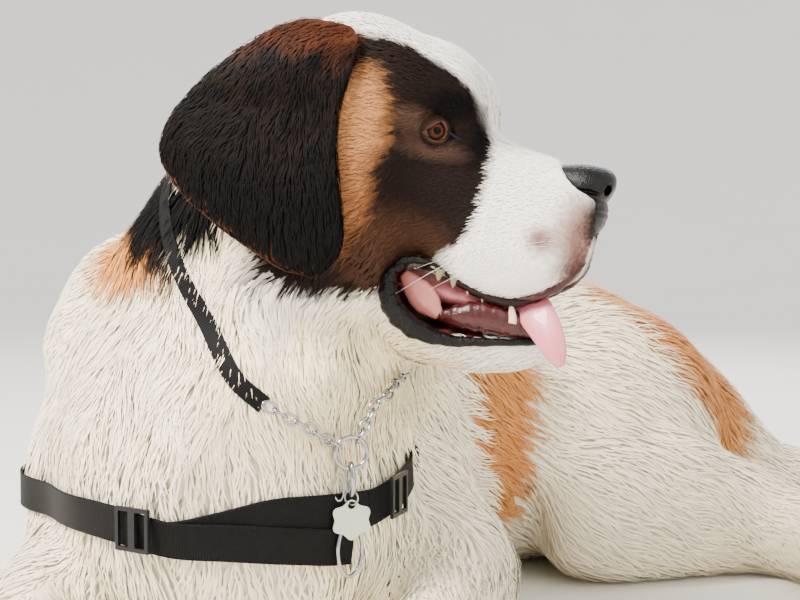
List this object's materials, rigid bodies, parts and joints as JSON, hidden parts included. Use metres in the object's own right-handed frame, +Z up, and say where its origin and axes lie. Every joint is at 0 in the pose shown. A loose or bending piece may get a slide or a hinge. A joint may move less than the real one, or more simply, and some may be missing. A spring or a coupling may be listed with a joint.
{
  "type": "saint bernard dog",
  "caption": "Life-size still model of a lying long-haired Saint Bernard, head up and turned left, mouth open, with collar, chain, tag and chest harness.",
  "frame": {"origin": "on the floor under the chest, on the flat where the chest rests", "axes": "+Z up; +Y back along the body towards the rump and tail; +X to the dog's left"},
  "size_m": [0.9291, 1.4808, 0.5919],
  "materials": {
    "coat_white": "long cream-white coat with orange patches",
    "coat_face": "short white coat with a dark mask",
    "coat_ear": "short soft near-black coat",
    "eye": "wet, brown",
    "nose_leather": "moist pebbled skin",
    "tongue": "moist, pink",
    "webbing": "ribbed black webbing",
    "slide": "moulded, black",
    "chrome": "plated wire",
    "tag_metal": "plain pale metal, lightly worn"
  },
  "bodies": {
    "root": {"torso": "coat_white", "neck": "coat_white", "tail": "coat_white", "foreleg_left": "coat_white", "foreleg_right": "coat_white", "hindleg_left": "coat_white", "hindleg_right": "coat_white", "head": "coat_face", "lower_jaw": "coat_face", "ear_left": "coat_ear", "ear_right": "coat_ear", "eye_left": "eye", "eye_right": "eye", "nose": "nose_leather", "tongue": "tongue", "collar_band": "webbing", "harness_strap_right": "webbing", "harness_strap_left": "webbing", "harness_strap_layer": "webbing", "harness_girth": "webbing", "slide_right": "slide", "slide_left": "slide", "collar_ring": "chrome", "snap_bow": "chrome", "tag_ring": "chrome", "harness_ring": "chrome", "tag": "tag_metal", "chain_link_01": "chrome", "chain_link_02": "chrome", "chain_link_03": "chrome", "chain_link_04": "chrome", "chain_link_05": "chrome", "chain_link_06": "chrome", "chain_link_07": "chrome", "chain_link_08": "chrome", "chain_link_09": "chrome", "chain_link_10": "chrome", "chain_link_11": "chrome", "chain_link_12": "chrome", "chain_link_13": "chrome", "chain_link_14": "chrome", "chain_link_15": "chrome", "chain_link_16": "chrome", "chain_link_17": "chrome", "chain_link_18": "chrome", "chain_link_19": "chrome"}
  },
  "joints": []
}
